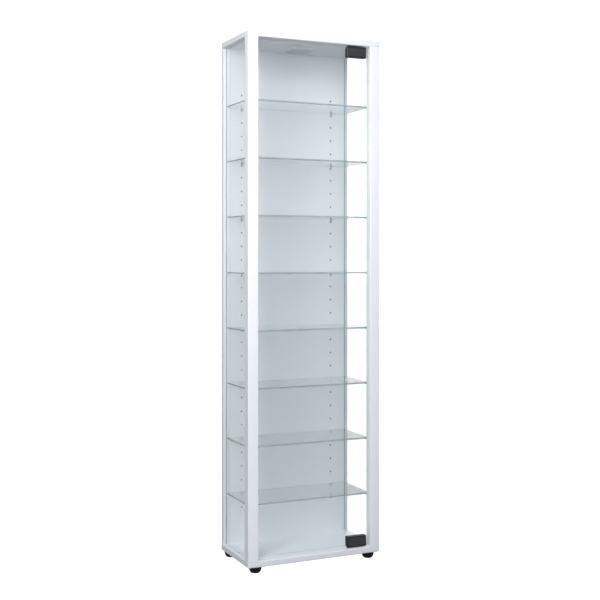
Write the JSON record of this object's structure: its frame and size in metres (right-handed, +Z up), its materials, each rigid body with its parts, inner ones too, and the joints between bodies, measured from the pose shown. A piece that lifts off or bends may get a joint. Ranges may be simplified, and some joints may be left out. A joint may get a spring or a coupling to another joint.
{
  "type": "display case",
  "caption": "Tall free-standing glass display case with lacquered boards and posts, drilled back panel, glass shelves, ceiling lamp and a swinging glass door.",
  "frame": {"origin": "floor level, centre of the footprint", "axes": "+X to the right seen from the front, -Y towards the door, +Z up"},
  "size_m": [0.51, 0.265, 1.86],
  "materials": {
    "white_lacquer_board": "satin white lacquer on fibreboard",
    "white_lacquer_post": "gloss white lacquer",
    "white_back_panel": "smooth white melamine face",
    "side_glass": "clear float glass with green edges",
    "shelf_glass": "clear float glass with ground green edges",
    "door_glass": "clear toughened glass with ground edges",
    "glazing_rubber": "grey glazing channel",
    "nickel_steel": "nickel plated pressed steel",
    "clear_pad": "clear soft plastic",
    "hinge_black": "black powder coat",
    "hinge_satin": "satin black plate",
    "gasket_rubber": "black gasket",
    "screw_steel": "zinc plated steel",
    "pin_steel": "turned steel",
    "nylon": "moulded nylon",
    "foot_plastic": "gloss black plastic",
    "cap_plastic": "white plastic",
    "beech": "fluted beech",
    "lamp_metal": "silver grey paint",
    "lamp_lens": "frosted lens",
    "lamp_board": "white faced circuit board",
    "lamp_chip": "yellow phosphor"
  },
  "bodies": {
    "cabinet": {"base_board": "white_lacquer_board", "top_board": "white_lacquer_board", "post_right": "white_lacquer_post", "post_left": "white_lacquer_post", "back_panel": "white_back_panel", "side_glass_right": "side_glass", "side_glass_left": "side_glass", "glazing_channels_right": "glazing_rubber", "glazing_channels_left": "glazing_rubber", "shelf_1": "shelf_glass", "shelf_2": "shelf_glass", "shelf_3": "shelf_glass", "shelf_4": "shelf_glass", "shelf_5": "shelf_glass", "shelf_6": "shelf_glass", "shelf_7": "shelf_glass", "shelf_8": "shelf_glass", "rear_shelf_supports": "nickel_steel", "front_shelf_supports": "nickel_steel", "shelf_pads": "clear_pad", "pivot_bush_lower": "nylon", "pivot_bush_upper": "nylon", "foot_front_left": "foot_plastic", "foot_front_right": "foot_plastic", "foot_rear_left": "foot_plastic", "foot_rear_right": "foot_plastic", "foot_studs": "screw_steel", "base_screws": "screw_steel", "top_screws": "screw_steel", "screw_caps": "cap_plastic", "base_dowels": "beech", "top_dowels": "beech", "lamp_housing": "lamp_metal", "lamp_lens": "lamp_lens", "lamp_board": "lamp_board", "lamp_chips": "lamp_chip", "lamp_screws": "screw_steel", "cable_grommet": "gasket_rubber"},
    "door": {"door_glass": "door_glass", "hinge_shell_lower": "hinge_black", "hinge_shell_upper": "hinge_black", "hinge_jaw_lower": "hinge_black", "hinge_jaw_upper": "hinge_black", "hinge_inlay_lower": "hinge_satin", "hinge_inlay_upper": "hinge_satin", "pivot_pin_lower": "pin_steel", "pivot_pin_upper": "pin_steel", "hinge_gaskets": "gasket_rubber", "hinge_screws": "screw_steel"}
  },
  "joints": [
    {"name": "door_swing", "type": "hinge", "parent": "cabinet", "child": "door", "pos_m": [0.197, -0.1105, 0.044], "axis": [0, 0, 1], "range_deg": [0, 105]}
  ]
}
